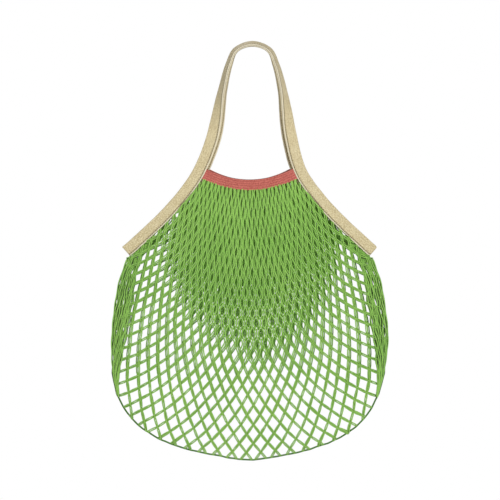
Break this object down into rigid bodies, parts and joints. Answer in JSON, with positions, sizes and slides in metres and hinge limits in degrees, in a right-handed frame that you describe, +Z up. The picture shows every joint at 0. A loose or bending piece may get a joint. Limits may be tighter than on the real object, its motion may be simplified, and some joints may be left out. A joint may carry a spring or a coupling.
{
  "type": "string shopping bag",
  "caption": "Short-handled string shopping bag: a knotless net pouch under a gathered mouth band, bound at its side slits by folded tape that runs on as the handles.",
  "frame": {"origin": "the point that the bag hangs from, under the top of its two handle loops", "axes": "+Z up along the hanging bag, +X to the bag's right as seen from the front, -Y towards the front face"},
  "size_m": [0.3891, 0.0492, 0.587],
  "materials": {
    "tape": "woven natural cotton tape, matt",
    "band": "ribbed cotton binding, matt",
    "net": "knitted cotton cord, soft matt"
  },
  "bodies": {
    "root": {"strap_front": "tape", "strap_back": "tape", "mouth_band_front": "band", "mouth_band_back": "band", "net_pouch": "net"}
  },
  "joints": []
}
